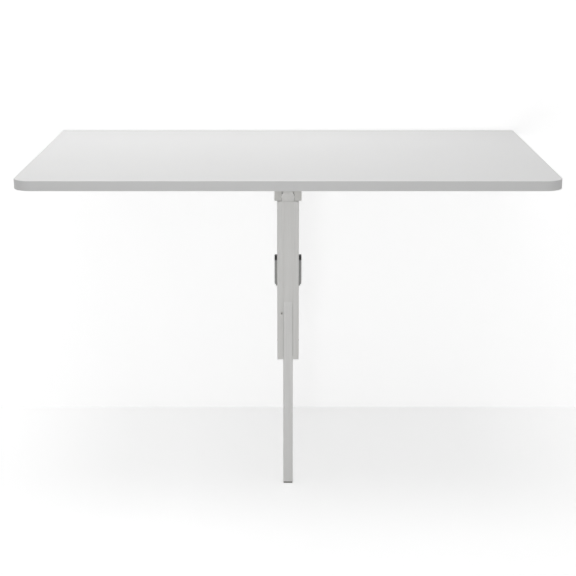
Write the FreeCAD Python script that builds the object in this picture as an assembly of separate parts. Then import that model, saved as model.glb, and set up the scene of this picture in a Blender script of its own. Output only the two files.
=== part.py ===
"""Wall mounted drop leaf table with a telescoping, folding centre leg.

Millimetres, +Z up, +X to the right of someone who faces the wall.  The wall is the plane y = 0 and the
leaf reaches out from it towards -Y.  The origin is the centre of the wall fixing holes.
"""
import FreeCAD, Part
import math
import os

Vector = FreeCAD.Vector

# ---- Leaf ------------------------------------------------------------------------------------------
table_height = 750.0            # floor to the leaf's upper face
leaf_width = 1150.0
leaf_depth = 700.0              # wall to front edge
leaf_thickness = 21.0
leaf_corner_radius = 40.0
wall_gap = 3.0                  # back edge of the leaf to the wall
band_thickness = 1.5            # edging glued round the board
band_edge_chamfer = 0.6

# ---- Wall rails ------------------------------------------------------------------------------------
rail_height = 70.0
rail_depth = 65.0
rail_end_inset = 55.0           # leaf's side to the rail's outer end
rail_inner_end = 80.0           # from the centre line
rail_edge_round = 2.0
wall_hole_radius = 3.0
wall_hole_inset = 140.0         # from each end of a rail
wall_hole_half_height = 20.0

# ---- Hinges ----------------------------------------------------------------------------------------
hinge_inset = 60.0              # from each end of a rail to a hinge's middle
hinge_length = 60.0
hinge_plate_width = 30.0
hinge_plate_thickness = 2.0
plate_corner_cut = 3.0
knuckle_radius = 4.0
knuckle_count = 3
knuckle_end_gap = 0.2
knuckle_relief = 0.4            # between a knuckle and the wood or plate it passes
hinge_pin_radius = 2.0
hinge_pin_clearance = 0.05

# ---- Leg bracket under the leaf --------------------------------------------------------------------
leg_setback = 203.0             # front edge of the leaf to the leg's centre
bracket_width = 60.4
bracket_slot_width = 28.2
bracket_base_depth = 90.0
bracket_base_thickness = 14.0
bracket_base_radius = 5.0
bracket_nose_radius = 16.0      # of the ears' rear lower corner, about the pivot
pivot_drop = 42.0               # leaf's lower face to the leg's pivot
pivot_radius = 4.0
running_clearance = 0.05

# ---- Upper leg -------------------------------------------------------------------------------------
tongue_width = 27.0
washer_play = 0.1
washer_radius = 9.0
tongue_head_radius = 19.0
tongue_boss_height = 1.8        # the head stands back from the ears round a boss on each side
tongue_boss_radius = 11.0
tongue_stem_length = 25.0
upper_leg_depth = 40.0
upper_leg_end_drop = 426.0      # leaf's lower face to the upper leg's lower end
upper_leg_top_gap = 1.0         # bracket to the upper leg
cheek_thickness = 13.0
cheek_edge_round = 1.5
front_strip_end_drop = 290.0
front_strip_proud = 0.4
front_strip_thickness = 3.0
front_strip_chamfer = 0.4
back_board_thickness = 12.0
side_clearance = 0.2            # lower leg to each cheek
face_clearance = 0.3            # lower leg to the front strip and to the back board
slot_mark_drop = 316.0
slot_mark_x = 14.2
slot_mark_width = 3.2
slot_mark_height = 6.8
slot_mark_depth = 8.0
slot_mark_round = 1.5

# ---- Lower leg -------------------------------------------------------------------------------------
lower_leg_width = 22.0
slide_travel = 200.0
slide_end_gap = 1.0             # raised lower leg to the tongue
lower_leg_edge_round = 1.0
stop_pin_radius = 3.0
stop_pin_drop = 404.0
stop_slot_clearance = 0.3
foot_pad_thickness = 4.0
foot_pad_inset = 0.5

# ---- Clamp lever -----------------------------------------------------------------------------------
lever_top_drop = 190.0
lever_height = 69.0
lever_side_gap = 0.4            # lever to cheek
lever_arm_thickness = 5.8
lever_front = 5.0               # behind the leg's centre
lever_back = 26.0
lever_bar_height = 18.0
lever_bar_gap = 0.5             # bar to the back board
lever_chamfer_width = 4.0
lever_chamfer_height = 7.0
bush_height = 10.5
rod_radius = 2.5
shoe_width = 14.0
shoe_height = 14.0
shoe_clearance = 0.3            # shoe to the lower leg
window_clearance = 1.5
window_swing_room = 4.0

# ---- Folded leg's magnetic catch -------------------------------------------------------------------
catch_distance = 315.0          # leg pivot to the catch, along the folded leg
catch_length = 40.0
catch_width = 18.0
catch_flange_length = 60.0
catch_flange_thickness = 3.0
catch_flange_round = 8.0
catch_edge_round = 2.0
magnet_length = 24.0
magnet_width = 10.0
magnet_thickness = 4.0
catch_plate_length = 36.0
catch_plate_width = 16.0
catch_plate_thickness = 1.5
catch_gap = 0.3

# ---- Places worked out from the sizes above --------------------------------------------------------
leaf_bottom = rail_height / 2
leaf_top = leaf_bottom + leaf_thickness
floor = leaf_top - table_height
rail_outer_end = leaf_width / 2 - rail_end_inset
hinge_offset = knuckle_radius + knuckle_relief
hinge_y = -rail_depth - hinge_offset
hinge_z = leaf_bottom - hinge_offset
leg_y = leg_setback - leaf_depth
pivot_z = leaf_bottom - pivot_drop
upper_leg_top = pivot_z - bracket_nose_radius - upper_leg_top_gap
upper_leg_end = leaf_bottom - upper_leg_end_drop
channel_half = lower_leg_width / 2 + side_clearance
upper_leg_half = channel_half + cheek_thickness
upper_leg_front = leg_y - upper_leg_depth / 2
upper_leg_back = leg_y + upper_leg_depth / 2
strip_front = upper_leg_front - front_strip_proud
strip_back = strip_front + front_strip_thickness
board_front = upper_leg_back - back_board_thickness
lower_leg_front = strip_back + face_clearance
lower_leg_back = board_front - face_clearance
lower_leg_mid = (lower_leg_front + lower_leg_back) / 2
tongue_end = upper_leg_top - tongue_stem_length
lower_leg_top = tongue_end - slide_end_gap - slide_travel
stop_pin_z = leaf_bottom - stop_pin_drop
lever_top = leaf_bottom - lever_top_drop
lever_bottom = lever_top - lever_height
lever_inner = upper_leg_half + lever_side_gap
lever_outer = lever_inner + lever_arm_thickness
rod_y = (board_front + upper_leg_back) / 2
rod_z = lever_top - bush_height / 2
shoe_z = lever_bottom + lever_bar_height / 2
catch_y = leg_y + catch_distance
catch_plate_z = pivot_z - catch_distance
catch_plate_face = upper_leg_back + catch_plate_thickness - leg_y


# ---- Shapes used by several pieces -----------------------------------------------------------------
def block(x0, x1, y0, y1, z0, z1):
    """A box between two corners."""
    return Part.makeBox(x1 - x0, y1 - y0, z1 - z0, Vector(x0, y0, z0))


def rod_along_x(x0, x1, y, z, radius):
    return Part.makeCylinder(radius, x1 - x0, Vector(x0, y, z), Vector(1, 0, 0))


def prism(points, direction):
    """A straight extrusion of a closed polygon."""
    wire = Part.makePolygon(points + [points[0]])
    return Part.Face(wire).extrude(direction)


def rounded_box(x0, x1, y0, y1, z0, z1, radius, axis):
    """A box whose four edges along one axis are rounded."""
    body = block(x0, x1, y0, y1, z0, z1)
    edges = [edge for edge in body.Edges if is_along(edge, axis)]
    return body.makeFillet(radius, edges)


def is_along(edge, axis):
    """True for a straight edge parallel to the given axis."""
    if not isinstance(edge.Curve, Part.Line):
        return False
    return abs(edge.Curve.Direction.dot(axis)) > 0.999


def without(body, tools):
    """The body with every tool cut from it."""
    for tool in tools:
        body = body.cut(tool)
    return body


# ---- Leaf ------------------------------------------------------------------------------------------
def leaf_outline(inset, z):
    """The leaf seen from above: square corners at the wall, round ones in front."""
    left = -leaf_width / 2 + inset
    right = leaf_width / 2 - inset
    back = -wall_gap - inset
    front = -leaf_depth + inset
    radius = leaf_corner_radius - inset
    bulge = radius * (1 - math.sqrt(0.5))
    edges = [
        Part.LineSegment(Vector(left, back, z), Vector(right, back, z)),
        Part.LineSegment(Vector(right, back, z), Vector(right, front + radius, z)),
        Part.Arc(Vector(right, front + radius, z), Vector(right - bulge, front + bulge, z),
                 Vector(right - radius, front, z)),
        Part.LineSegment(Vector(right - radius, front, z), Vector(left + radius, front, z)),
        Part.Arc(Vector(left + radius, front, z), Vector(left + bulge, front + bulge, z),
                 Vector(left, front + radius, z)),
        Part.LineSegment(Vector(left, front + radius, z), Vector(left, back, z)),
    ]
    return Part.Wire([edge.toShape() for edge in edges])


def leaf_board():
    face = Part.Face(leaf_outline(band_thickness, leaf_bottom))
    return face.extrude(Vector(0, 0, leaf_thickness))


def edge_band():
    """Edging in one loop round the board, its two outer edges broken."""
    outer = Part.Face(leaf_outline(0, leaf_bottom)).extrude(Vector(0, 0, leaf_thickness))
    rims = [edge for edge in outer.Edges if abs(edge.BoundBox.ZLength) < 1e-6]
    return outer.makeChamfer(band_edge_chamfer, rims).cut(leaf_board())


# ---- Wall rails ------------------------------------------------------------------------------------
def both_rails(inset):
    """Places from left to right that lie an inset from each end of the two rails."""
    outer = rail_outer_end - inset
    inner = rail_inner_end + inset
    return (-outer, -inner, inner, outer)


def wall_holes():
    """Screw holes through both rails, in two rectangles about the origin."""
    return [Part.makeCylinder(wall_hole_radius, rail_depth, Vector(x, 0, z), Vector(0, -1, 0))
            for x in both_rails(wall_hole_inset)
            for z in (-wall_hole_half_height, wall_hole_half_height)]


def wall_rail(side):
    """A rail on one side of the gap that the folded leg needs."""
    ends = sorted((side * rail_inner_end, side * rail_outer_end))
    rail = block(ends[0], ends[1], -rail_depth, 0, -rail_height / 2, leaf_bottom)
    lower_front = [edge for edge in rail.Edges
                   if is_along(edge, Vector(1, 0, 0)) and edge.CenterOfMass.z < 0 and edge.CenterOfMass.y < -1]
    rail = rail.makeFillet(rail_edge_round, lower_front)
    return without(rail, wall_holes())


# ---- Hinges ----------------------------------------------------------------------------------------
def knuckle_spans(hinge_x, first):
    """The stretches along a hinge's axis that belong to one of its two leaves."""
    step = hinge_length / knuckle_count
    start = hinge_x - hinge_length / 2
    return [(start + i * step, start + (i + 1) * step) for i in range(first, knuckle_count, 2)]


def hinge_leaf(hinge_x, plate, first, bore_radius):
    """A plate with its own knuckles, notched round the knuckles of the other leaf."""
    body = plate
    for start, end in knuckle_spans(hinge_x, first):
        body = body.fuse(rod_along_x(start + knuckle_end_gap / 2, end - knuckle_end_gap / 2,
                                     hinge_y, hinge_z, knuckle_radius))
    for start, end in knuckle_spans(hinge_x, 1 - first):
        body = body.cut(rod_along_x(start - knuckle_end_gap / 2, end + knuckle_end_gap / 2,
                                    hinge_y, hinge_z, knuckle_radius + knuckle_relief))
    bore = rod_along_x(hinge_x - hinge_length, hinge_x + hinge_length, hinge_y, hinge_z, bore_radius)
    return body.cut(bore).removeSplitter()


def wall_hinge_leaf(hinge_x):
    half = hinge_length / 2
    plate = block(hinge_x - half, hinge_x + half, -rail_depth - hinge_plate_thickness, -rail_depth,
                  hinge_z - hinge_plate_width, hinge_z)
    corners = [edge for edge in plate.Edges
               if is_along(edge, Vector(0, 1, 0)) and edge.CenterOfMass.z < hinge_z - 1]
    plate = plate.makeChamfer(plate_corner_cut, corners)
    return hinge_leaf(hinge_x, plate, 0, hinge_pin_radius)


def top_hinge_leaf(hinge_x):
    half = hinge_length / 2
    plate = block(hinge_x - half, hinge_x + half, hinge_y - hinge_plate_width, hinge_y,
                  leaf_bottom - hinge_plate_thickness, leaf_bottom)
    corners = [edge for edge in plate.Edges
               if is_along(edge, Vector(0, 0, 1)) and edge.CenterOfMass.y < hinge_y - 1]
    plate = plate.makeChamfer(plate_corner_cut, corners)
    return hinge_leaf(hinge_x, plate, 1, hinge_pin_radius + hinge_pin_clearance)


def hinge_pin(hinge_x):
    half = hinge_length / 2
    return rod_along_x(hinge_x - half, hinge_x + half, hinge_y, hinge_z, hinge_pin_radius)


# ---- Leg bracket -----------------------------------------------------------------------------------
def bracket_base():
    half = bracket_width / 2
    return rounded_box(-half, half, leg_y - bracket_base_depth / 2, leg_y + bracket_base_depth / 2,
                       leaf_bottom - bracket_base_thickness, leaf_bottom, bracket_base_radius, Vector(0, 0, 1))


def bracket_ear(side):
    """One ear of the fork: square in front, where it stops the leg, and round behind, where the leg swings."""
    ends = sorted((side * bracket_slot_width / 2, side * bracket_width / 2))
    radius = bracket_nose_radius
    top = leaf_bottom - bracket_base_thickness
    ear = block(ends[0], ends[1], upper_leg_front, leg_y, pivot_z - radius, top)
    ear = ear.fuse(block(ends[0], ends[1], leg_y, leg_y + radius, pivot_z, top))
    ear = ear.fuse(rod_along_x(ends[0], ends[1], leg_y, pivot_z, radius)).removeSplitter()
    return ear.cut(pivot_pin())


def pivot_pin():
    return rod_along_x(-bracket_width / 2, bracket_width / 2, leg_y, pivot_z, pivot_radius)


def pivot_washers():
    """Washers that keep the tongue off the two ears."""
    outer = bracket_slot_width / 2
    inner = tongue_width / 2 + washer_play
    rings = []
    for start, end in ((-outer, -inner), (inner, outer)):
        ring = rod_along_x(start, end, leg_y, pivot_z, washer_radius)
        rings.append(ring.cut(pivot_pin()))
    return rings


# ---- Upper leg -------------------------------------------------------------------------------------
def leg_tongue():
    """The block at the leg's top: a round head with two bosses in the fork, and a stem between the cheeks."""
    half = tongue_width / 2
    radius = tongue_head_radius
    head_half = half - tongue_boss_height
    head = rod_along_x(-head_half, head_half, leg_y, pivot_z, radius)
    head = head.fuse(rod_along_x(-half, half, leg_y, pivot_z, tongue_boss_radius))
    head = head.common(block(-half, half, leg_y - radius, leg_y + radius, pivot_z, pivot_z + radius))
    head = head.fuse(block(-half, half, leg_y - radius, leg_y + radius, upper_leg_top, pivot_z))
    stem = block(-channel_half, channel_half, strip_back, board_front, tongue_end, upper_leg_top)
    bore = rod_along_x(-half, half, leg_y, pivot_z, pivot_radius + running_clearance)
    return head.fuse(stem).removeSplitter().cut(bore)


def leg_cheek(side):
    ends = sorted((side * channel_half, side * upper_leg_half))
    cheek = block(ends[0], ends[1], upper_leg_front, upper_leg_back, upper_leg_end, upper_leg_top)
    outer_edges = [edge for edge in cheek.Edges
                   if is_along(edge, Vector(0, 0, 1)) and abs(edge.CenterOfMass.x) > upper_leg_half - 1]
    cheek = cheek.makeFillet(cheek_edge_round, outer_edges)
    if side < 0:
        cheek = cheek.cut(slot_mark())
    return without(cheek, [stop_pin(), lever_rod()])


def slot_mark():
    """A short upright slot in the front of the left cheek."""
    half = slot_mark_width / 2
    z = leaf_bottom - slot_mark_drop
    return rounded_box(-slot_mark_x - half, -slot_mark_x + half, upper_leg_front, upper_leg_front + slot_mark_depth,
                       z - slot_mark_height / 2, z + slot_mark_height / 2, slot_mark_round, Vector(0, 1, 0))


def leg_front_strip():
    """The narrow strip that closes the channel's front above the lower leg."""
    strip = block(-channel_half, channel_half, strip_front, strip_back, leaf_bottom - front_strip_end_drop,
                  upper_leg_top)
    edges = [edge for edge in strip.Edges
             if is_along(edge, Vector(0, 0, 1)) and edge.CenterOfMass.y < strip_front + 1]
    return strip.makeChamfer(front_strip_chamfer, edges)


def leg_back_board():
    board = block(-channel_half, channel_half, board_front, upper_leg_back, upper_leg_end, upper_leg_top)
    half_width = shoe_width / 2 + window_clearance
    half_height = shoe_height / 2 + window_swing_room
    window = block(-half_width, half_width, board_front, upper_leg_back, shoe_z - half_height, shoe_z + half_height)
    return without(board, [window, lever_rod()])


def stop_pin():
    return rod_along_x(-upper_leg_half, upper_leg_half, lower_leg_mid, stop_pin_z, stop_pin_radius)


# ---- Lower leg -------------------------------------------------------------------------------------
def lower_leg():
    """The sliding leg, with the long slot that its stop pin runs in."""
    half = lower_leg_width / 2
    leg = rounded_box(-half, half, lower_leg_front, lower_leg_back, floor + foot_pad_thickness, lower_leg_top,
                      lower_leg_edge_round, Vector(0, 0, 1))
    radius = stop_pin_radius + stop_slot_clearance
    slot = block(-half, half, lower_leg_mid - radius, lower_leg_mid + radius, stop_pin_z - slide_travel, stop_pin_z)
    for z in (stop_pin_z - slide_travel, stop_pin_z):
        slot = slot.fuse(rod_along_x(-half, half, lower_leg_mid, z, radius))
    return leg.cut(slot.removeSplitter())


def foot_pad():
    half = lower_leg_width / 2 - foot_pad_inset
    return rounded_box(-half, half, lower_leg_front + foot_pad_inset, lower_leg_back - foot_pad_inset,
                       floor, floor + foot_pad_thickness, lower_leg_edge_round, Vector(0, 0, 1))


# ---- Clamp lever -----------------------------------------------------------------------------------
def lever_rod():
    return rod_along_x(-lever_outer, lever_outer, rod_y, rod_z, rod_radius)


def lever_bushes():
    """Blocks at the tops of the lever's arms that turn on the rod."""
    bushes = []
    for ends in ((-lever_outer, -lever_inner), (lever_inner, lever_outer)):
        bush = block(ends[0], ends[1], leg_y + lever_front, leg_y + lever_back, lever_top - bush_height, lever_top)
        top_edges = [edge for edge in bush.Edges
                     if is_along(edge, Vector(1, 0, 0)) and edge.CenterOfMass.z > lever_top - 1]
        bush = bush.makeFillet(bush_height / 3, top_edges)
        bore = rod_along_x(ends[0], ends[1], rod_y, rod_z, rod_radius + running_clearance)
        bushes.append(bush.cut(bore))
    return bushes


def clamp_lever():
    """Two arms outside the leg, joined by a bar across its back."""
    arm_top = lever_top - bush_height
    corner = lever_chamfer_width
    points = [(lever_inner, arm_top), (lever_outer, arm_top), (lever_outer, lever_bottom + lever_chamfer_height),
              (lever_outer - corner, lever_bottom), (lever_inner, lever_bottom)]
    bar = block(-lever_inner, lever_inner, upper_leg_back + lever_bar_gap, leg_y + lever_back, lever_bottom,
                lever_bottom + lever_bar_height)
    lever = bar
    for side in (-1, 1):
        outline = [Vector(side * x, leg_y + lever_front, z) for x, z in points]
        lever = lever.fuse(prism(outline, Vector(0, lever_back - lever_front, 0)))
    return lever.removeSplitter()


def clamp_shoe():
    half = shoe_width / 2
    return block(-half, half, lower_leg_back + shoe_clearance, upper_leg_back + lever_bar_gap,
                 shoe_z - shoe_height / 2, shoe_z + shoe_height / 2)


# ---- Folded leg's catch ----------------------------------------------------------------------------
def catch_bottom():
    """Lower face of the catch: just above the folded leg's plate."""
    return pivot_z + catch_plate_face + catch_gap


def catch_magnet():
    z = catch_bottom()
    return block(-magnet_width / 2, magnet_width / 2, catch_y - magnet_length / 2, catch_y + magnet_length / 2,
                 z, z + magnet_thickness)


def catch_housing():
    half = catch_width / 2
    body = rounded_box(-half, half, catch_y - catch_length / 2, catch_y + catch_length / 2, catch_bottom(),
                       leaf_bottom, catch_edge_round, Vector(0, 0, 1))
    flange = rounded_box(-half, half, catch_y - catch_flange_length / 2, catch_y + catch_flange_length / 2,
                         leaf_bottom - catch_flange_thickness, leaf_bottom, catch_flange_round, Vector(0, 0, 1))
    return body.fuse(flange).removeSplitter().cut(catch_magnet())


def catch_plate():
    """The steel plate on the back board that the magnet holds."""
    half = catch_plate_width / 2
    return block(-half, half, upper_leg_back, upper_leg_back + catch_plate_thickness,
                 catch_plate_z - catch_plate_length / 2, catch_plate_z + catch_plate_length / 2)


# ---- Everything, one file per node -----------------------------------------------------------------
def all_nodes():
    nodes = {
        "leaf_panel": leaf_board(),
        "leaf_edge_band": edge_band(),
        "wall_rail_left": wall_rail(-1),
        "wall_rail_right": wall_rail(1),
        "bracket_base": bracket_base(),
        "bracket_ear_left": bracket_ear(-1),
        "bracket_ear_right": bracket_ear(1),
        "leg_pivot_pin": pivot_pin(),
        "leg_pivot_washers": Part.makeCompound(pivot_washers()),
        "leg_tongue": leg_tongue(),
        "leg_cheek_left": leg_cheek(-1),
        "leg_cheek_right": leg_cheek(1),
        "leg_front_strip": leg_front_strip(),
        "leg_back_board": leg_back_board(),
        "leg_stop_pin": stop_pin(),
        "lower_leg": lower_leg(),
        "foot_pad": foot_pad(),
        "clamp_rod": lever_rod(),
        "clamp_bushes": Part.makeCompound(lever_bushes()),
        "clamp_lever": clamp_lever(),
        "clamp_shoe": clamp_shoe(),
        "catch_housing": catch_housing(),
        "catch_magnet": catch_magnet(),
        "catch_plate": catch_plate(),
    }
    for number, x in enumerate(both_rails(hinge_inset), start=1):
        nodes[f"hinge_{number}_wall_leaf"] = wall_hinge_leaf(x)
        nodes[f"hinge_{number}_top_leaf"] = top_hinge_leaf(x)
        nodes[f"hinge_{number}_pin"] = hinge_pin(x)
    return nodes


os.makedirs("parts", exist_ok=True)
for name, shape in all_nodes().items():
    shape.exportStep(f"parts/{name}.step")
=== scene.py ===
import math

import bpy
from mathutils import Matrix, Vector


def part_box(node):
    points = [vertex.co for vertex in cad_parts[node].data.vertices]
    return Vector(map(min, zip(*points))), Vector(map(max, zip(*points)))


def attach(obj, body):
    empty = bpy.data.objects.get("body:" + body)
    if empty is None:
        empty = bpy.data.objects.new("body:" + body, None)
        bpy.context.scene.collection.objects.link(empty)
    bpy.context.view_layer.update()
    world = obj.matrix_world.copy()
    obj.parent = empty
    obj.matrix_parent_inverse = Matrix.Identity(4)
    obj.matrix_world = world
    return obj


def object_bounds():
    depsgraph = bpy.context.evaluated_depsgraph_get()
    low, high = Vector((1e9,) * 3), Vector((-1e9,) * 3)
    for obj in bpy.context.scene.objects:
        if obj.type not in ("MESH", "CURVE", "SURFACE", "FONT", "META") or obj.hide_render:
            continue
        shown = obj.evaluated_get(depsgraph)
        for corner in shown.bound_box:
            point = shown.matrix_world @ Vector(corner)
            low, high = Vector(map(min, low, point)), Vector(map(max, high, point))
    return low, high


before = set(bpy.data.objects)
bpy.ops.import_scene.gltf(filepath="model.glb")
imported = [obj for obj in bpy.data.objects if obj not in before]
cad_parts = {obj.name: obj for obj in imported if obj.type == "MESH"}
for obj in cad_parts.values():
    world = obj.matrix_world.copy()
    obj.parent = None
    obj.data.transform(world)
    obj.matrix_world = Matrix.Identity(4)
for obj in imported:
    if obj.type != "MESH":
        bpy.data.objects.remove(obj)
cad_low, cad_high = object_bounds()

# ---- Wall rails ------------------------------------------------------------------------------------
# Two lengths of planed softwood, 65 mm deep, screwed to the wall with a gap between them for the folded
# leg.  They are sprayed satin white; the grain, which runs along them, shows a little through the paint.
MILLIMETRE = 0.001


class Value:
    """A socket that can be used in a sum, a difference or a product."""

    def __init__(self, tree, socket):
        self.tree = tree
        self.socket = socket

    def maths(self, operation, first, second):
        return add_node(self.tree, "ShaderNodeMath", {"operation": operation}, {0: first, 1: second})[0]

    def __add__(self, other):
        return self.maths("ADD", self, other)

    def __radd__(self, other):
        return self.maths("ADD", other, self)

    def __sub__(self, other):
        return self.maths("SUBTRACT", self, other)

    def __rsub__(self, other):
        return self.maths("SUBTRACT", other, self)

    def __mul__(self, other):
        return self.maths("MULTIPLY", self, other)

    def __rmul__(self, other):
        return self.maths("MULTIPLY", other, self)


def add_node(tree, kind, settings, inputs):
    """Adds a node, sets its options, then its inputs by name or number, and returns its outputs."""
    node = tree.nodes.new(kind)
    for name, setting in settings.items():
        setattr(node, name, setting)
    for key, value in inputs.items():
        if isinstance(value, Value):
            tree.links.new(value.socket, node.inputs[key])
        else:
            node.inputs[key].default_value = value
    return [Value(tree, socket) for socket in node.outputs]


def by_name(outputs):
    """A node's outputs under their names."""
    return {output.socket.name: output for output in outputs}


def new_material(name):
    """An empty material and the node tree that it is drawn in."""
    material = bpy.data.materials.new(name)
    material.use_nodes = True
    material.node_tree.nodes.clear()
    return material, material.node_tree


def end_in(tree, shader):
    """Makes a shader the surface of its material."""
    add_node(tree, "ShaderNodeOutputMaterial", {}, {"Surface": shader})


def end_in_principled(tree, inputs):
    """Ends a material in one principled shader."""
    end_in(tree, add_node(tree, "ShaderNodeBsdfPrincipled", {}, inputs)[0])


def evenly(count):
    """The same number of blotches per metre each way."""
    return (count, count, count)


def object_place(tree):
    """A point's place on the piece, in metres."""
    return by_name(add_node(tree, "ShaderNodeTexCoord", {}, {}))["Object"]


def object_noise(tree, per_metre, detail, shift=0.0):
    """Noise on the piece's own coordinates, with so many blotches per metre along X, Y and Z."""
    mapped = add_node(tree, "ShaderNodeMapping", {}, {
        "Vector": object_place(tree), "Location": (shift, shift, shift), "Scale": per_metre})[0]
    return add_node(tree, "ShaderNodeTexNoise", {}, {
        "Vector": mapped, "Scale": 1.0, "Detail": detail})[0]


MIX_FACTOR = 0                   # a Mix node's colour sockets share their names with its other sockets
MIX_FIRST_COLOUR = 6
MIX_SECOND_COLOUR = 7
MIX_COLOUR_RESULT = 2


def shaded(tree, low, high, factor):
    """A colour between two others."""
    return add_node(tree, "ShaderNodeMix", {"data_type": "RGBA"}, {
        MIX_FACTOR: factor, MIX_FIRST_COLOUR: (*low, 1), MIX_SECOND_COLOUR: (*high, 1),
    })[MIX_COLOUR_RESULT]


def drawn_out(first, first_contrast, second, second_contrast):
    """Two noises, each stretched about its middle, added to one factor round a half."""
    return 0.5 + (first - 0.5) * first_contrast + (second - 0.5) * second_contrast


def bumped(tree, height, depth):
    """A normal tilted by a height from 0 to 1 that stands for depth in metres."""
    return add_node(tree, "ShaderNodeBump", {}, {
        "Height": height, "Distance": depth, "Strength": 1.0})[0]


def painted_wood(name, grain, dark, light):
    """Satin paint on wood: a faint grain under it and the soft peel of a sprayed coat."""
    material, tree = new_material(name)
    fibres = object_noise(tree, grain, detail=5.0)
    blotches = object_noise(tree, evenly(9), detail=2.0, shift=4.0)
    peel = object_noise(tree, evenly(900), detail=1.0, shift=2.0)
    surface = fibres * 0.75 + peel * 0.25
    end_in_principled(tree, {
        "Base Color": shaded(tree, dark, light, drawn_out(fibres, 1.7, blotches, 0.9)),
        "Roughness": 0.36 + blotches * 0.16,
        "Specular IOR Level": 0.45,
        "Normal": bumped(tree, surface, 0.12 * MILLIMETRE)})
    return material


def dress(names, material):
    """Gives CAD nodes their finish."""
    for name in names:
        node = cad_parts[name]
        node.data.materials.clear()
        node.data.materials.append(material)


GRAIN_ALONG_X = (6, 260, 260)
warm_white_dark = (0.775, 0.769, 0.748)
warm_white_light = (0.845, 0.841, 0.822)
rail_paint = painted_wood("rail_paint", GRAIN_ALONG_X, warm_white_dark, warm_white_light)
dress(["wall_rail_left", "wall_rail_right"], rail_paint)

# ---- Butt hinges -----------------------------------------------------------------------------------
# Four zinc plated steel butt hinges: two plates of sheet steel rolled round a plain pin, with fine lines
# from the rolling.  One plate is screwed to a rail's front and the other to the lower face of the leaf.


def plated_steel(name, streaks, dark, light, roughness):
    """Zinc or nickel plating: clouded grey with fine drawn lines."""
    material, tree = new_material(name)
    lines = object_noise(tree, streaks, detail=3.0)
    clouds = object_noise(tree, evenly(70), detail=3.0, shift=7.0)
    end_in_principled(tree, {
        "Base Color": shaded(tree, dark, light, lines * 0.5 + clouds * 0.5),
        "Metallic": 1.0,
        "Roughness": roughness + lines * 0.15 + clouds * 0.08,
        "Normal": bumped(tree, lines, 0.03 * MILLIMETRE)})
    return material


hinge_numbers = (1, 2, 3, 4)
hinge_steel = plated_steel("hinge_steel", streaks=(40, 2500, 2500),
                           dark=(0.49, 0.495, 0.50), light=(0.70, 0.705, 0.71), roughness=0.28)
dress([f"hinge_{number}_wall_leaf" for number in hinge_numbers], hinge_steel)
dress([f"hinge_{number}_top_leaf" for number in hinge_numbers], hinge_steel)
turned_steel = plated_steel("turned_steel", streaks=(1800, 60, 60),
                            dark=(0.51, 0.515, 0.52), light=(0.73, 0.735, 0.74), roughness=0.25)
dress([f"hinge_{number}_pin" for number in hinge_numbers], turned_steel)

# ---- Screws ----------------------------------------------------------------------------------------
# Cross-headed wood screws with low domed heads, zinc plated.  Three hold each hinge plate, four the leg
# bracket, two the catch, and two pairs join the leg's cheeks to its back board.


def geometry_tree(name, sizes):
    """A geometry node tree with one named input for each size."""
    tree = bpy.data.node_groups.new(name, "GeometryNodeTree")
    tree.interface.new_socket("Geometry", in_out="INPUT", socket_type="NodeSocketGeometry")
    for label in sizes:
        tree.interface.new_socket(label, in_out="INPUT", socket_type="NodeSocketFloat")
    tree.interface.new_socket("Geometry", in_out="OUTPUT", socket_type="NodeSocketGeometry")
    return tree, by_name(add_node(tree, "NodeGroupInput", {}, {}))


def vector_of(tree, x, y, z):
    """One vector from three sizes."""
    return add_node(tree, "ShaderNodeCombineXYZ", {}, {0: x, 1: y, 2: z})[0]


def screw_head_tree(material):
    """A domed head with a cross recess on every point, turned by the three angles given."""
    tree, size = geometry_tree("screw_heads", (
        "Head radius", "Head height", "Recess width", "Recess depth", "Turn X", "Turn Y", "Turn Z"))
    ball = add_node(tree, "GeometryNodeMeshUVSphere", {}, {
        "Segments": 20, "Rings": 10, "Radius": 1.0})[0]
    dome_size = vector_of(tree, size["Head radius"], size["Head radius"], size["Head height"])
    head = add_node(tree, "GeometryNodeTransform", {}, {"Geometry": ball, "Scale": dome_size})[0]
    bar_length = size["Head radius"] * 1.1
    bar_height = size["Recess depth"] * 2
    head_top = vector_of(tree, 0.0, 0.0, size["Head height"])
    for x, y in ((bar_length, size["Recess width"]), (size["Recess width"], bar_length)):
        bar = add_node(tree, "GeometryNodeMeshCube", {}, {"Size": vector_of(tree, x, y, bar_height)})[0]
        raised = add_node(tree, "GeometryNodeTransform", {}, {
            "Geometry": bar, "Translation": head_top})[0]
        head = add_node(tree, "GeometryNodeMeshBoolean", {"operation": "DIFFERENCE"}, {
            "Mesh 1": head, "Mesh 2": raised})[0]
    turn = vector_of(tree, size["Turn X"], size["Turn Y"], size["Turn Z"])
    copies = add_node(tree, "GeometryNodeInstanceOnPoints", {}, {
        "Points": size["Geometry"], "Instance": head, "Rotation": turn})[0]
    solid = add_node(tree, "GeometryNodeRealizeInstances", {}, {"Geometry": copies})[0]
    finished = add_node(tree, "GeometryNodeSetMaterial", {}, {
        "Geometry": solid, "Material": material})[0]
    add_node(tree, "NodeGroupOutput", {}, {"Geometry": finished})
    return tree


def plain_mesh(name, points, tree, sizes, material):
    """Runs a geometry node tree over some points and keeps the result as a plain mesh."""
    seed = bpy.data.meshes.new(name + "_points")
    seed.from_pydata(points, [], [])
    piece = bpy.data.objects.new(name, seed)
    bpy.context.collection.objects.link(piece)
    modifier = piece.modifiers.new("made", "NODES")
    modifier.node_group = tree
    labels = {item.name: item.identifier for item in tree.interface.items_tree if item.in_out == "INPUT"}
    for label, size in sizes.items():
        modifier[labels[label]] = size
    bpy.context.view_layer.update()
    evaluated = piece.evaluated_get(bpy.context.evaluated_depsgraph_get())
    mesh = bpy.data.meshes.new_from_object(evaluated)
    mesh.name = name
    piece.modifiers.remove(modifier)
    piece.data = mesh
    mesh.materials.clear()
    mesh.materials.append(material)
    return piece


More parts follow.
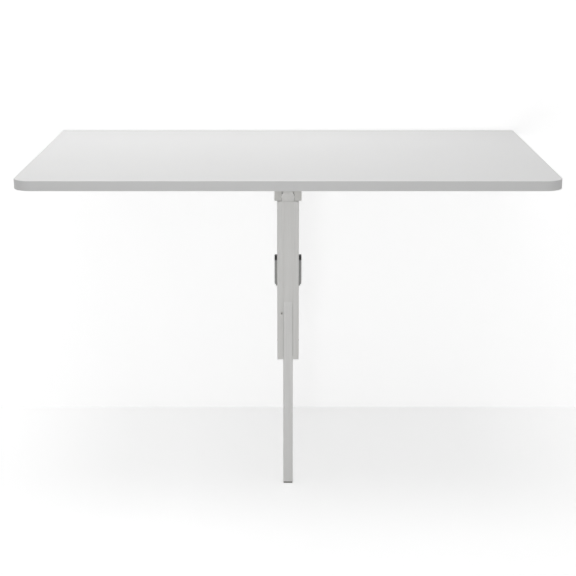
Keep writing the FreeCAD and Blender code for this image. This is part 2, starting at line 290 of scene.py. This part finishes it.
screw_steel = plated_steel("screw_steel", streaks=evenly(300),
                           dark=(0.46, 0.465, 0.47), light=(0.67, 0.675, 0.68), roughness=0.3)
screw_tree = screw_head_tree(screw_steel)
recess_width_to_radius = 0.28
recess_depth_to_height = 0.75


def screw_heads(name, points, facing, body, radius, height):
    """Screw heads on the given points, all turned to face one way."""
    sizes = {"Head radius": radius, "Head height": height,
             "Recess width": radius * recess_width_to_radius,
             "Recess depth": height * recess_depth_to_height,
             "Turn X": facing[0], "Turn Y": facing[1], "Turn Z": facing[2]}
    heads = plain_mesh(name, points, screw_tree, sizes, screw_steel)
    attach(heads, body)


QUARTER = math.pi / 2
TO_THE_FRONT = (QUARTER, 0, 0)
DOWNWARDS = (2 * QUARTER, 0, 0)
TO_THE_RIGHT = (0, QUARTER, 0)
TO_THE_LEFT = (0, -QUARTER, 0)

plate_thickness = 2 * MILLIMETRE
screw_spread = 20 * MILLIMETRE
outer_row = 9 * MILLIMETRE
inner_row = 18 * MILLIMETRE


def three_across(low, high, free_edge):
    """Where a plate's three screws go along it and in from its free edge."""
    middle = (low + high) / 2
    return [(middle - screw_spread, free_edge + outer_row), (middle, free_edge + inner_row),
            (middle + screw_spread, free_edge + outer_row)]


rail_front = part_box("wall_rail_left")[0][1]
rail_points = []
leaf_points = []
for number in hinge_numbers:
    low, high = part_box(f"hinge_{number}_wall_leaf")
    rail_points += [(x, rail_front - plate_thickness, z)
                    for x, z in three_across(low[0], high[0], low[2])]
    low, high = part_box(f"hinge_{number}_top_leaf")
    leaf_points += [(x, y, high[2] - plate_thickness)
                    for x, y in three_across(low[0], high[0], low[1])]
screw_heads("rail_screw_heads", rail_points, TO_THE_FRONT, "wall_rails",
            radius=3.4 * MILLIMETRE, height=1.1 * MILLIMETRE)
screw_heads("leaf_screw_heads", leaf_points, DOWNWARDS, "leaf",
            radius=3.4 * MILLIMETRE, height=1.1 * MILLIMETRE)

# ---- Leaf ------------------------------------------------------------------------------------------
# A single 21 mm chipboard panel faced on both sides with satin white melamine.  The facing has the fine
# pearl texture of pressed laminate, and its sheen varies very slightly over the board.


def pressed_plastic(name, dark, light, roughness, pearl_depth):
    """Smooth white plastic with a fine pressed texture."""
    material, tree = new_material(name)
    pearl = object_noise(tree, evenly(1400), detail=2.0)
    drift = object_noise(tree, evenly(2.5), detail=2.0, shift=3.0)
    end_in_principled(tree, {
        "Base Color": shaded(tree, dark, light, drawn_out(drift, 1.1, pearl, 0.6)),
        "Roughness": roughness + drift * 0.08 + pearl * 0.06,
        "Specular IOR Level": 0.4,
        "Normal": bumped(tree, pearl, pearl_depth)})
    return material


melamine = pressed_plastic("melamine", dark=(0.805, 0.805, 0.800), light=(0.845, 0.845, 0.842),
                           roughness=0.30, pearl_depth=0.02 * MILLIMETRE)
dress(["leaf_panel"], melamine)

# ---- Edging ----------------------------------------------------------------------------------------
# Plastic edging glued round the panel in one strip, its two long corners broken by a scraper.  It is
# coloured a shade greyer than the facing, as painted shade for the leaf's upright edges, and has a finer
# and duller surface.
# Painted shade: the edging's colour is set greyer than the facing's to darken the leaf's upright edges.
edging = pressed_plastic("edging", dark=(0.700, 0.700, 0.697), light=(0.730, 0.730, 0.728),
                         roughness=0.38, pearl_depth=0.01 * MILLIMETRE)
dress(["leaf_edge_band"], edging)

# ---- Leg bracket -----------------------------------------------------------------------------------
# A wooden fork: a flat base screwed up into the leaf, and two ears glued under it, square in front and
# round behind the pivot, so that the leg's shoulders swing past them.  All three are coloured a shade
# greyer than the leg: painted shade for their place close under the leaf.
GRAIN_ALONG_Z = (260, 260, 6)
# Painted shade: these greyer colours stand for the shade close under the leaf, not for a different
# paint.
under_leaf_shade_dark = (0.655, 0.648, 0.622)
under_leaf_shade_light = (0.715, 0.709, 0.685)
base_paint_with_shade = painted_wood("base_paint_with_shade", GRAIN_ALONG_X, under_leaf_shade_dark, under_leaf_shade_light)
dress(["bracket_base"], base_paint_with_shade)
ear_paint_with_shade = painted_wood("ear_paint_with_shade", GRAIN_ALONG_Z, under_leaf_shade_dark, under_leaf_shade_light)
dress(["bracket_ear_left", "bracket_ear_right"], ear_paint_with_shade)
base_low, base_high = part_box("bracket_base")
base_inset_x = 12.2 * MILLIMETRE
base_inset_y = 12 * MILLIMETRE
base_points = [(x, y, base_low[2]) for x in (base_low[0] + base_inset_x, base_high[0] - base_inset_x)
               for y in (base_low[1] + base_inset_y, base_high[1] - base_inset_y)]
screw_heads("bracket_screw_heads", base_points, DOWNWARDS, "leaf",
            radius=4 * MILLIMETRE, height=1.3 * MILLIMETRE)

# ---- Leg pivot -------------------------------------------------------------------------------------
# A plain 8 mm turned steel pin through both ears and the tongue.  A washer on each side of the tongue
# keeps the painted faces apart.
dress(["leg_pivot_pin", "leg_pivot_washers"], turned_steel)

# ---- Upper leg -------------------------------------------------------------------------------------
# Two cheeks, a back board and a front strip glued round a channel, with the tongue let in at the top.
# Solid wood, painted satin white; small screws through the cheeks hold the back board, and a steel pin
# across the channel stops the lower leg.
leg_paint = painted_wood("leg_paint", GRAIN_ALONG_Z, warm_white_dark, warm_white_light)
dress(["leg_tongue", "leg_cheek_left", "leg_cheek_right"], leg_paint)
dress(["leg_front_strip", "leg_back_board"], leg_paint)
dress(["leg_stop_pin"], turned_steel)
cheek_low, cheek_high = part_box("leg_cheek_right")
board_low, board_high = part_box("leg_back_board")
board_mid = (board_low[1] + board_high[1]) / 2
below_the_top = 28 * MILLIMETRE
above_the_end = 36 * MILLIMETRE
heights = (cheek_high[2] - below_the_top, cheek_low[2] + above_the_end)
for side, x, facing in (("right", cheek_high[0], TO_THE_RIGHT), ("left", -cheek_high[0], TO_THE_LEFT)):
    screw_heads(f"cheek_screws_{side}", [(x, board_mid, z) for z in heights], facing, "upper_leg",
                radius=3.2 * MILLIMETRE, height=0.6 * MILLIMETRE)

# ---- Lower leg -------------------------------------------------------------------------------------
# A narrow batten that slides in the upper leg's channel; a long slot in it runs on the stop pin.  It is
# coloured a shade lighter than the cheeks' paint, as painted light for the dimmer light near the floor.
# Painted light: the batten is coloured lighter than the cheeks so that, lit less low down, it looks as
# bright as they do.
batten_paint_with_light = painted_wood("batten_paint_with_light", GRAIN_ALONG_Z, (0.815, 0.811, 0.796), (0.885, 0.882, 0.868))
dress(["lower_leg"], batten_paint_with_light)

# ---- Foot pad --------------------------------------------------------------------------------------
# A pad of grey felt-faced rubber glued under the lower leg, half a millimetre smaller all round than the
# wood above it.


def soft_pad(name, dark, light):
    """Dense felt or rubber with a matt, slightly hairy surface."""
    material, tree = new_material(name)
    fluff = object_noise(tree, evenly(1600), detail=4.0)
    end_in_principled(tree, {
        "Base Color": shaded(tree, dark, light, fluff),
        "Roughness": 0.75 + fluff * 0.2,
        "Specular IOR Level": 0.25,
        "Normal": bumped(tree, fluff, 0.15 * MILLIMETRE)})
    return material


pad_felt = soft_pad("pad_felt", dark=(0.26, 0.25, 0.235), light=(0.42, 0.41, 0.39))
dress(["foot_pad"], pad_felt)

# ---- Clamp lever -----------------------------------------------------------------------------------
# A bent steel lever with a grey powder coat: two arms beside the leg, a bar behind it and a rubber shoe
# that presses on the lower leg.  It turns on a steel rod in two nylon bushes, which are black at the top
# and the lever's grey below.


def moulded_coat(name, dark, light, roughness, peel_per_metre, peel_depth):
    """Powder coat or moulded nylon: even colour with a fine orange peel."""
    material, tree = new_material(name)
    peel = object_noise(tree, evenly(peel_per_metre), detail=2.0)
    rub = object_noise(tree, evenly(60), detail=4.0, shift=5.0)
    end_in_principled(tree, {
        "Base Color": shaded(tree, dark, light, peel * 0.4 + rub * 0.6),
        "Roughness": roughness + rub * 0.18,
        "Normal": bumped(tree, peel, peel_depth)})
    return material


grey_coat = moulded_coat("grey_coat", dark=(0.34, 0.34, 0.334), light=(0.445, 0.445, 0.437),
                         roughness=0.38, peel_per_metre=1500, peel_depth=0.06 * MILLIMETRE)
dress(["clamp_lever"], grey_coat)
dress(["clamp_rod"], turned_steel)


def black_topped_nylon(name, grey, black, black_above):
    """Nylon that is black above a height and grey below it, with a short soft change."""
    material, tree = new_material(name)
    height = by_name(add_node(tree, "ShaderNodeSeparateXYZ", {}, {"Vector": object_place(tree)}))["Z"]
    peel = object_noise(tree, evenly(2200), detail=2.0)
    blackness = add_node(tree, "ShaderNodeMapRange", {"interpolation_type": "SMOOTHSTEP"}, {
        "Value": height,
        "From Min": black_above - 3 * MILLIMETRE, "From Max": black_above + 1 * MILLIMETRE})[0]
    end_in_principled(tree, {
        "Base Color": shaded(tree, grey, black, blackness),
        "Roughness": 0.42 + peel * 0.14,
        "Normal": bumped(tree, peel, 0.04 * MILLIMETRE)})
    return material


bush_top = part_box("clamp_bushes")[1][2]
black_end = 8 * MILLIMETRE
black_nylon = black_topped_nylon("black_nylon", grey=(0.30, 0.30, 0.295), black=(0.022, 0.022, 0.022),
                           black_above=bush_top - black_end)
dress(["clamp_bushes"], black_nylon)
shoe_rubber = soft_pad("shoe_rubber", dark=(0.015, 0.015, 0.015), light=(0.04, 0.04, 0.04))
dress(["clamp_shoe"], shoe_rubber)

# ---- Catch for the folded leg ----------------------------------------------------------------------
# A white nylon housing screwed under the leaf, with a nickel plated magnet in its lower end, and a steel
# plate on the leg's back board that the magnet holds when the leg lies flat.
white_nylon = moulded_coat("white_nylon", dark=(0.70, 0.70, 0.69), light=(0.77, 0.77, 0.76),
                           roughness=0.42, peel_per_metre=2200, peel_depth=0.04 * MILLIMETRE)
dress(["catch_housing"], white_nylon)
nickel = plated_steel("nickel", streaks=evenly(500),
                      dark=(0.55, 0.54, 0.52), light=(0.68, 0.67, 0.64), roughness=0.15)
dress(["catch_magnet"], nickel)
plate_steel = plated_steel("plate_steel", streaks=(2200, 300, 60),
                           dark=(0.5, 0.505, 0.51), light=(0.69, 0.695, 0.70), roughness=0.3)
dress(["catch_plate"], plate_steel)
catch_low, catch_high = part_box("catch_housing")
flange_thickness = 3 * MILLIMETRE
flange_inset = 5 * MILLIMETRE
catch_points = [(0, y, catch_high[2] - flange_thickness)
                for y in (catch_low[1] + flange_inset, catch_high[1] - flange_inset)]
screw_heads("catch_screw_heads", catch_points, DOWNWARDS, "leaf",
            radius=3 * MILLIMETRE, height=0.9 * MILLIMETRE)

# ---- Studio ----------------------------------------------------------------------------------------
# A pale floor and wall under four soft lamps keep the table's shadows; cameras and mirrors see them, and
# the air around them, lifted to white.  Both can be looked through from behind, and the wall is open
# behind the rails, so that light reaches them.


def seen_directly(tree):
    """1 on the way from a camera, a mirror or glass, and 0 for the light that reaches the table."""
    path = by_name(add_node(tree, "ShaderNodeLightPath", {}, {}))
    return path["Is Camera Ray"] + path["Is Glossy Ray"] + path["Is Transmission Ray"]


def backdrop_material(name, grey, lift):
    """Matt paint that looks whiter to the camera than the light that it gives off."""
    material, tree = new_material(name)
    diffuse = add_node(tree, "ShaderNodeBsdfDiffuse", {}, {"Color": (grey, grey, grey, 1)})[0]
    glow = add_node(tree, "ShaderNodeEmission", {}, {
        "Color": (1, 1, 1, 1), "Strength": seen_directly(tree) * lift})[0]
    lit = add_node(tree, "ShaderNodeAddShader", {}, {0: diffuse, 1: glow})[0]
    clear = add_node(tree, "ShaderNodeBsdfTransparent", {}, {})[0]
    behind = by_name(add_node(tree, "ShaderNodeNewGeometry", {}, {}))["Backfacing"]
    end_in(tree, add_node(tree, "ShaderNodeMixShader", {}, {0: behind, 1: lit, 2: clear})[0])
    return material


def backdrop(name, panels, material):
    """Flat panels, each given by its four corners."""
    mesh = bpy.data.meshes.new(name)
    corners = [corner for panel in panels for corner in panel]
    faces = [tuple(range(first, first + 4)) for first in range(0, len(corners), 4)]
    mesh.from_pydata(corners, [], faces)
    mesh.materials.append(material)
    sheet = bpy.data.objects.new(name, mesh)
    bpy.context.collection.objects.link(sheet)


studio_reach = 14.0
floor_height = cad_low[2] - 0.2 * MILLIMETRE
wall_place = cad_high[1] + 0.5 * MILLIMETRE
floor_corners = [(x * studio_reach, y * studio_reach, floor_height)
                 for x, y in ((-1, -1), (1, -1), (1, 1), (-1, 1))]
backdrop("floor", [floor_corners], backdrop_material("floor_paint", grey=0.8, lift=0.52))


def wall_panel(left, right, low, high):
    """The four corners of one piece of the wall."""
    return [(left, wall_place, low), (right, wall_place, low),
            (right, wall_place, high), (left, wall_place, high)]


rail_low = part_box("wall_rail_left")[0]
rail_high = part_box("wall_rail_right")[1]
wall_panels = [wall_panel(-studio_reach, studio_reach, floor_height, rail_low[2]),
               wall_panel(-studio_reach, studio_reach, rail_high[2], studio_reach),
               wall_panel(-studio_reach, rail_low[0], rail_low[2], rail_high[2]),
               wall_panel(rail_high[0], studio_reach, rail_low[2], rail_high[2])]
backdrop("wall", wall_panels, backdrop_material("wall_paint", grey=0.82, lift=0.545))


def softbox(name, place, aim, width, height, watts):
    """A soft rectangular lamp turned towards a point."""
    light = bpy.data.lights.new(name, "AREA")
    light.shape = "RECTANGLE"
    light.size = width
    light.size_y = height
    light.energy = watts
    lamp = bpy.data.objects.new(name, light)
    lamp.location = place
    lamp.rotation_euler = (Vector(aim) - Vector(place)).to_track_quat("-Z", "Y").to_euler()
    lamp.visible_camera = False
    bpy.context.collection.objects.link(lamp)


softbox("overhead", place=(-0.3, -0.5, 5.0), aim=(-0.1, -0.45, 0), width=4.0, height=3.2, watts=85.0)
softbox("front", place=(-0.2, -3.7, -0.25), aim=(0, -0.5, -0.3), width=0.6, height=0.7, watts=14.1)
softbox("left", place=(-1.3, -0.15, 1.2), aim=(-0.1, -0.3, 0.05), width=0.7, height=0.4, watts=3.6)
softbox("back_strip", place=(-0.15, -0.1, 0.52), aim=(-0.15, -0.12, 0),
        width=1.2, height=0.08, watts=0.46)

ambient = 0.43
world = bpy.data.worlds.new("studio_air")
bpy.context.scene.world = world
world.use_nodes = True
air = world.node_tree
air.nodes.clear()
strength = ambient + seen_directly(air) * (1 - ambient)
sky = add_node(air, "ShaderNodeBackground", {}, {"Color": (1, 1, 1, 1), "Strength": strength})[0]
add_node(air, "ShaderNodeOutputWorld", {}, {"Surface": sky})

# ---- Camera ----------------------------------------------------------------------------------------
# On the table's centre line, about three and a half metres from the wall and half a metre above the top,
# tilted a little down.
tilt_down = math.radians(14.024)
camera_data = bpy.data.cameras.new("camera")
camera_data.sensor_width = 36
camera_data.lens = 86.62
camera_data.shift_y = -0.05
camera = bpy.data.objects.new("camera", camera_data)
camera.location = (0, -3.5209, 0.5945)
camera.rotation_euler = (QUARTER - tilt_down, 0, 0)
bpy.context.collection.objects.link(camera)
bpy.context.scene.camera = camera
bpy.context.scene.view_settings.view_transform = "Standard"
